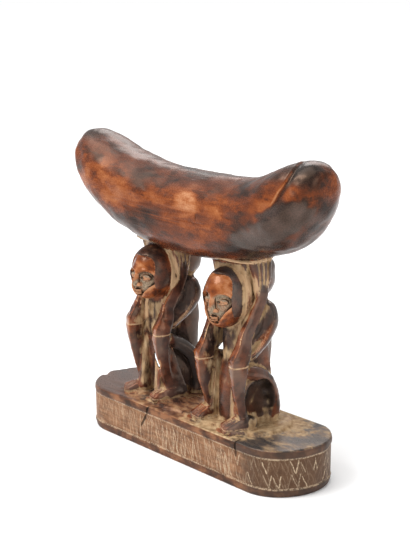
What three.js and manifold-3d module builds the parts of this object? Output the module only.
// A carved wooden headrest, made from one block: a long base with round ends and an
// incised frieze, two crouching figures with their elbows on their knees and their hands
// raised beside their heads, and the curved rest for the neck that they carry.
// Millimetres. +X runs along the headrest, -Y is the side that the figures face, +Z is up,
// and the origin is on the underside, at the centre of the plan.
import * as THREE from 'three';
import { mergeVertices } from 'three/addons/utils/BufferGeometryUtils.js';
import Module from 'manifold-3d';

const wasm = await Module();
wasm.setup();

// Driving dimensions
const wood = { color: 0x5a2a16, roughness: 0.45, metalness: 0 };

const base = {
  halfLength: 84.5,
  halfDepth: 25.8,
  endRun: 23.5,
  height: 25,
  footTaper: 0.985,
  edgeRound: 2.2,
  lowerBorder: 4.2,
  upperBorder: 20.6,
  friezeInset: 0.4,
  outlinePoints: 44,
};

const pillow = {
  halfLength: 91.5,
  middleHeight: 132,
  rise: 10.8,
  endRise: 24.5,
  halfDepthMiddle: 20.3,
  halfDepthEnd: 20.5,
  halfHeightMiddle: 21.8,
  halfHeightEnd: 15.2,
  endRound: 0.34,
  endPower: 2.4,
  offsetY: -5,
  squareness: 2.2,
  stations: 22,
  sides: 18,
};

// The frieze is cut as V strokes: one row of tall zigzags along each straight side and two
// rows of small ones round each end
const frieze = { period: 12.4, halfWidth: 0.9, depth: 0.6, margin: 1, gap: 0.07 };

// The low terrace that both figures squat on
const terrace = { x: 4, halfLength: 54, halfDepth: 22.5, height: 3.4 };

// Each figure: its place along the base, how far it turns to its right, how far its knees
// stand from its middle, the front of its belly, and the heights over the base of its
// shoulders and head. Each leg, on its near side (+X) and far side: the height of the knee
// and of the ground, how far back the knee and the ankle are, and how far the toes turn to -X.
const figures = [
  {
    x: -30, turn: 4, spread: 12.8, belly: -3.5, shoulder: 60, head: 70, headX: 0,
    near: { side: 1, knee: 44.5, ground: 3, kneeY: -15.8, ankleY: -12.2, toe: -3 },
    far: { side: -1, knee: 47, ground: 1.2, kneeY: -16, ankleY: -9.5, toe: -5 },
  },
  {
    x: 31, turn: 0, spread: 14.2, belly: -7, shoulder: 58.5, head: 67.5, headX: -1.6,
    near: { side: 1, knee: 37, ground: 3, kneeY: -16.2, ankleY: -14.6, toe: -4 },
    far: { side: -1, knee: 41, ground: 3, kneeY: -17.6, ankleY: -12.4, toe: -2 },
  },
];

// Sizes that the two figures share: half widths across, half depths from front to back
const body = {
  crown: 93,
  limb: 4.9,
  ankle: 4,
  headHalf: [12, 14.2, 17],
  headY: -9.8,
  rimHalf: [14, 18.6],
  rimThickness: 2.6,
  rimY: -4.5,
  back: 17,
  fingers: 4,
  fingerRadius: 2.3,
  toes: 5,
};

// Merges a closed geometry's shared vertices and makes a solid of it
function solid(geometry) {
  const shell = geometry.clone();
  shell.deleteAttribute('normal');
  shell.deleteAttribute('uv');
  const merged = mergeVertices(shell, 1e-4);
  return new wasm.Manifold(new wasm.Mesh({
    numProp: 3,
    vertProperties: new Float32Array(merged.attributes.position.array),
    triVerts: new Uint32Array(merged.index.array),
  }));
}

function join(geometries) {
  return geometries.map(solid).reduce((whole, next) => whole.add(next));
}

// A closed skin over rings of points, each ring with as many points as the next. A fan
// round its middle closes the first ring and the last.
function loft(rings) {
  const sides = rings[0].length;
  const points = rings.flat();
  const indices = [];
  for (let row = 0; row < rings.length - 1; row += 1) {
    for (let side = 0; side < sides; side += 1) {
      const a = row * sides + side;
      const b = row * sides + ((side + 1) % sides);
      indices.push(a, b, b + sides, a, b + sides, a + sides);
    }
  }
  for (const [row, flipped] of [[0, true], [rings.length - 1, false]]) {
    const middle = new THREE.Vector3();
    for (const point of rings[row]) middle.addScaledVector(point, 1 / sides);
    const hub = points.push(middle) - 1;
    for (let side = 0; side < sides; side += 1) {
      const a = row * sides + side;
      const b = row * sides + ((side + 1) % sides);
      indices.push(hub, flipped ? b : a, flipped ? a : b);
    }
  }
  const geometry = new THREE.BufferGeometry().setFromPoints(points);
  geometry.setIndex(indices);
  return geometry;
}

// Cosine and sine, pushed out towards a square as the power rises over 2
function squircle(angle, power) {
  const push = (value) => Math.sign(value) * Math.abs(value) ** (2 / power);
  return [push(Math.cos(angle)), push(Math.sin(angle))];
}

// A limb through stations [x, y, z, half width, half depth], with domed ends. The half width
// is measured across the figure, the half depth at right angles to it and to the limb.
function limb(stations, sides = 8, power = 2.8) {
  const centres = stations.map(([x, y, z]) => new THREE.Vector3(x, y, z));
  const last = centres.length - 1;
  const ringAt = (index, shift, size) => {
    const before = centres[Math.max(index - 1, 0)];
    const after = centres[Math.min(index + 1, last)];
    const along = after.clone().sub(before).normalize();
    const across = new THREE.Vector3(1, 0, 0);
    across.addScaledVector(along, -across.dot(along)).normalize();
    const outward = new THREE.Vector3().crossVectors(along, across);
    const [, , , halfWidth, halfDepth] = stations[index];
    const ring = [];
    for (let side = 0; side < sides; side += 1) {
      const [c, s] = squircle((2 * Math.PI * (side + 0.5)) / sides, power);
      ring.push(centres[index].clone()
        .addScaledVector(along, shift * Math.min(halfWidth, halfDepth))
        .addScaledVector(across, size * halfWidth * c)
        .addScaledVector(outward, size * halfDepth * s));
    }
    return ring;
  };
  return loft([
    ringAt(0, -0.7, 0.6),
    ...stations.map((station, index) => ringAt(index, 0, 1)),
    ringAt(last, 0.7, 0.6),
  ]);
}

// An ellipsoid with half sizes across, front to back and up
function egg([x, y, z], half, around = 10, up = 7) {
  const geometry = new THREE.SphereGeometry(1, around, up);
  geometry.rotateX(Math.PI / 2);
  geometry.scale(...half);
  geometry.translate(x, y, z);
  return geometry;
}

// A bar from one point to another, to cut a V stroke with
function stroke(from, to, halfWidth) {
  const bar = new THREE.CylinderGeometry(halfWidth, halfWidth, from.distanceTo(to), 4, 1);
  const direction = to.clone().sub(from).normalize();
  bar.applyQuaternion(
    new THREE.Quaternion().setFromUnitVectors(new THREE.Vector3(0, 1, 0), direction));
  const middle = from.clone().lerp(to, 0.5);
  bar.translate(middle.x, middle.y, middle.z);
  return bar;
}

// The plan of the base: straight sides and round ends, at an angle round it
function planPoint(angle, inset) {
  const straight = base.halfLength - base.endRun;
  const c = Math.cos(angle);
  return [
    Math.sign(c) * straight + (base.endRun - inset) * c,
    (base.halfDepth - inset) * Math.sin(angle),
  ];
}

function makeBase() {
  const { height, lowerBorder, upperBorder, friezeInset, edgeRound, outlinePoints } = base;
  const levels = [
    [0, 0.8, base.footTaper],
    [0.8, 0, base.footTaper],
    [lowerBorder, 0, 1],
    [lowerBorder + friezeInset, friezeInset, 1],
    [upperBorder - friezeInset, friezeInset, 1],
    [upperBorder, 0, 1],
    [height - edgeRound, 0, 1],
    [height - 0.3 * edgeRound, 0.35 * edgeRound, 1],
    [height, edgeRound, 1],
  ];
  return loft(levels.map(([z, inset, scale]) => {
    const ring = [];
    for (let index = 0; index < outlinePoints; index += 1) {
      const [x, y] = planPoint((2 * Math.PI * (index + 0.5)) / outlinePoints, inset);
      ring.push(new THREE.Vector3(x * scale, y * scale, z));
    }
    return ring;
  }));
}

// The frieze's strokes, in four stretches: the two straight sides and the two ends
function makeFrieze() {
  const straight = base.halfLength - base.endRun;
  const inset = base.friezeInset + frieze.depth - frieze.halfWidth;
  const endLength = Math.PI * 0.5 * (base.endRun + base.halfDepth);
  const floor = base.lowerBorder + frieze.margin;
  const ceiling = base.upperBorder - frieze.margin;
  const side = (sign) => (t, z) => new THREE.Vector3(
    straight * (2 * t - 1), sign * (base.halfDepth - inset), z);
  const end = (turn) => (t, z) => {
    const [x, y] = planPoint(turn + Math.PI * (0.001 + 0.998 * t - 0.5), inset);
    return new THREE.Vector3(x, y, z);
  };
  const stretches = [
    { place: side(-1), length: 2 * straight, rows: 1 },
    { place: side(1), length: 2 * straight, rows: 1 },
    { place: end(0), length: endLength, rows: 2 },
    { place: end(Math.PI), length: endLength, rows: 2 },
  ];
  const strokes = [];
  for (const { place, length, rows } of stretches) {
    const count = Math.round(length / frieze.period);
    for (let row = 0; row < rows; row += 1) {
      const foot = floor + ((ceiling - floor) * row) / rows;
      const top = floor + ((ceiling - floor) * (row + 1)) / rows - frieze.margin;
      for (let index = 0; index < count; index += 1) {
        for (const lean of [-1, 1]) {
          const low = place((index + 0.5 + lean * (0.5 - frieze.gap)) / count, foot);
          const high = place((index + 0.5 + lean * frieze.gap) / count, top);
          strokes.push(stroke(low, high, frieze.halfWidth));
        }
      }
    }
  }
  return strokes;
}

// The neck rest: oval sections along a curve that rises to both ends, which are rounded off
function pillowRing(u) {
  const { rise, endRise, halfLength, middleHeight } = pillow;
  const z = middleHeight + rise * u ** 2 + endRise * u ** 4;
  const slope = (2 * rise * u + 4 * endRise * u ** 3) / halfLength;
  const steepness = Math.hypot(1, slope);
  const past = Math.max(0, (Math.abs(u) - (1 - pillow.endRound)) / pillow.endRound);
  const closing = (1 - past ** pillow.endPower) ** (1 / pillow.endPower);
  const mix = (middle, end) => (middle + (end - middle) * u ** 2) * closing;
  const halfDepth = mix(pillow.halfDepthMiddle, pillow.halfDepthEnd);
  const halfHeight = mix(pillow.halfHeightMiddle, pillow.halfHeightEnd);
  const ring = [];
  for (let side = 0; side < pillow.sides; side += 1) {
    const [c, s] = squircle((2 * Math.PI * side) / pillow.sides, pillow.squareness);
    ring.push(new THREE.Vector3(
      halfLength * u - (halfHeight * s * slope) / steepness,
      pillow.offsetY + halfDepth * c,
      z + (halfHeight * s) / steepness,
    ));
  }
  return ring;
}

function makePillow() {
  const rings = [];
  for (let index = 0; index <= pillow.stations; index += 1) {
    const t = (2 * index) / pillow.stations - 1;
    rings.push(pillowRing(0.995 * Math.sin((Math.PI / 2) * t)));
  }
  return loft(rings);
}

// A leg: foot flat on the ground, upright shin, thigh sloping back to the buttock
function makeLeg(figure, leg) {
  const { side, knee, ground, kneeY, ankleY, toe } = leg;
  const x = side * figure.spread;
  const { limb: half, ankle } = body;
  const reach = 0.2 * (knee - 37);
  const shinY = (share) => ankleY + (kneeY - ankleY) * share;
  const shin = limb([
    [0.96 * x, ankleY, ground + 2, ankle, 4.4],
    [0.96 * x, ankleY, ground + 7, ankle, 4],
    [x, shinY(0.6), 0.6 * knee, half - 0.4, 4.6],
    [x, shinY(0.9), 0.82 * knee, half, 5.7],
    [x, kneeY, knee - 1.8, half + 0.4, 7],
  ]);
  const foot = limb([
    [0.96 * x, ankleY + 4.5, ground + 1, ankle - 0.4, 4],
    [0.96 * x, ankleY, ground + 1.4, ankle + 0.3, 4.8],
    [0.96 * x + 0.5 * toe, ankleY - 5, ground + 0.8, ankle + 0.7, 3.8],
    [0.96 * x + toe, ankleY - 9, ground + 0.2, ankle + 0.8, 2.4],
  ]);
  const thigh = limb([
    [x, kneeY + 5, knee - 5.2, half, 5.4],
    [x, -1, 0.71 * knee, half + 0.4, 5.6],
    [0.94 * x, 7 + reach, 0.47 * knee, half + 1, 6],
    [0.86 * x, 10.2 + reach, 9, half + 1.4, 7],
    [0.84 * x, 10 + reach, 1, half + 1, 7],
  ]);
  return [shin, foot, thigh];
}

// An arm: shoulder down to the elbow on the knee, forearm up to the hand beside the head
function makeArm(figure, leg) {
  const { side, knee, kneeY } = leg;
  const x = side * figure.spread;
  const { shoulder } = figure;
  const half = body.limb;
  const upper = limb([
    [0.84 * x, 4.6, shoulder, half + 1, 5.6],
    [0.95 * x, 4.2, shoulder - 4.5, half + 0.8, 6],
    [x, -2, 0.5 * (shoulder + knee), half + 0.2, 5.2],
    [x, -10.5, knee + 4.5, half, 5.2],
  ]);
  const fore = limb([
    [x, kneeY - 0.2, knee + 2, half + 0.3, 7],
    [x, kneeY + 0.8, knee + 7, half, 6.4],
    [0.97 * x, 0.5 * kneeY - 2, 0.5 * (knee + 72), half - 0.3, 5.2],
    [0.93 * x, -4.4, 72, half - 0.9, 4.6],
    [0.88 * x, -3, 82, half - 1, 6],
    [0.84 * x, -2.4, body.crown, half - 1, 7.6],
  ]);
  const parts = [upper, fore];
  for (let finger = 0; finger < body.fingers; finger += 1) {
    const spread = finger - (body.fingers - 1) / 2;
    parts.push(limb([
      [1.02 * x, -4.4 + 1.6 * spread, 74, 1.7, 1.4],
      [0.95 * x, -2.4 + 3.7 * spread, body.crown, body.fingerRadius, 1.9],
    ], 5, 2));
  }
  return parts;
}

// The trunk, the block behind the head and the collar under the neck rest
function makeTrunk(figure) {
  const { shoulder, belly } = figure;
  const middle = 0.5 * (body.back + belly);
  const half = 0.5 * (body.back - belly);
  const trunk = limb([
    [0, middle, 0, 10, half],
    [0, middle, 16, 10, half],
    [0, middle + 0.5, 30, 9, half - 1],
    [0, 7, shoulder - 14, 10, 9.4],
    [0, 5.4, shoulder, 11.5, 8.6],
  ], 10);
  const nape = egg([0, 3.5, 75], [12.8, 12, 18], 12, 8);
  const collar = limb([
    [0, -1.5, 80, 12, 7],
    [0, -2.6, 86, 14, 8.6],
    [0, -2.6, body.crown, 15, 9.2],
  ], 10, 3);
  return [trunk, nape, collar];
}

// The head: a high rounded forehead, a hollowed heart-shaped face and a rim round the hair
function makeHead(figure) {
  const { headHalf, headY, rimHalf } = body;
  const { head, headX } = figure;
  const face = headY - headHalf[1];
  const at = (x, y, z, half) => egg([headX + x, face + y, head + z], half, 8, 5);
  const hollowed = solid(egg([headX, headY, head], headHalf, 14, 9))
    .subtract(solid(at(-4.8, -1.1, -3.5, [4.1, 3.4, 6.4])))
    .subtract(solid(at(4.8, -1.1, -3.5, [4.1, 3.4, 6.4])));
  const rim = new THREE.CylinderGeometry(1, 1, body.rimThickness, 16, 1);
  rim.scale(rimHalf[0], 1, rimHalf[1]);
  rim.translate(headX, body.rimY, head + 1);
  const features = [
    at(0, 1.5, -5.5, [1.6, 1.8, 2.6]),
    at(0, 3.4, -11, [2.8, 1.8, 1.1]),
    at(-4.5, 2.6, -2.4, [2.4, 1.3, 0.9]),
    at(4.5, 2.6, -2.4, [2.4, 1.3, 0.9]),
    rim,
  ];
  return hollowed.add(join(features));
}

// The strokes that part the toes of one foot
function toeStrokes(figure, leg) {
  const strokes = [];
  const { side, ground, ankleY, toe } = leg;
  const half = body.ankle + 0.8;
  for (let gap = 1; gap < body.toes; gap += 1) {
    const across = 0.96 * side * figure.spread + half * ((2 * gap) / body.toes - 1);
    strokes.push(stroke(
      new THREE.Vector3(across + 0.5 * toe, ankleY - 5, ground + 4.8),
      new THREE.Vector3(across + 1.2 * toe, ankleY - 12, ground + 2), 0.8));
  }
  return strokes;
}

function makeFigure(figure) {
  const legs = [figure.near, figure.far];
  const parts = makeTrunk(figure);
  for (const leg of legs) parts.push(...makeLeg(figure, leg), ...makeArm(figure, leg));
  const toes = legs.flatMap((leg) => toeStrokes(figure, leg));
  return join(parts).add(makeHead(figure)).subtract(join(toes));
}

function makeTerrace() {
  const levels = [[-1, 1, 1], [1, 1, 1], [2.6, 0.97, 0.93], [terrace.height, 0.9, 0.82]];
  return loft(levels.map(([z, alongScale, acrossScale]) => {
    const ring = [];
    for (let side = 0; side < 20; side += 1) {
      const [c, s] = squircle((2 * Math.PI * (side + 0.5)) / 20, 3.4);
      ring.push(new THREE.Vector3(
        terrace.x + terrace.halfLength * alongScale * c,
        terrace.halfDepth * acrossScale * s,
        base.height + z,
      ));
    }
    return ring;
  }));
}

function geometryOf(manifold) {
  const { vertProperties, triVerts } = manifold.getMesh();
  const geometry = new THREE.BufferGeometry();
  geometry.setAttribute('position', new THREE.BufferAttribute(vertProperties, 3));
  geometry.setIndex(new THREE.BufferAttribute(triVerts, 1));
  return geometry;
}

function placed(manifold, figure) {
  const geometry = geometryOf(manifold);
  geometry.rotateZ(THREE.MathUtils.degToRad(-figure.turn));
  geometry.translate(figure.x, 0, base.height);
  return solid(geometry);
}

function makeHeadrest() {
  const carvedBase = solid(makeBase()).subtract(join(makeFrieze()));
  const whole = figures
    .map((figure) => placed(makeFigure(figure), figure))
    .reduce((sum, next) => sum.add(next), carvedBase.add(join([makeTerrace(), makePillow()])));
  const mesh = new THREE.Mesh(geometryOf(whole), new THREE.MeshStandardMaterial(wood));
  mesh.name = 'headrest';
  return mesh;
}

const headrest = new THREE.Group();
headrest.add(makeHeadrest());

export default headrest;
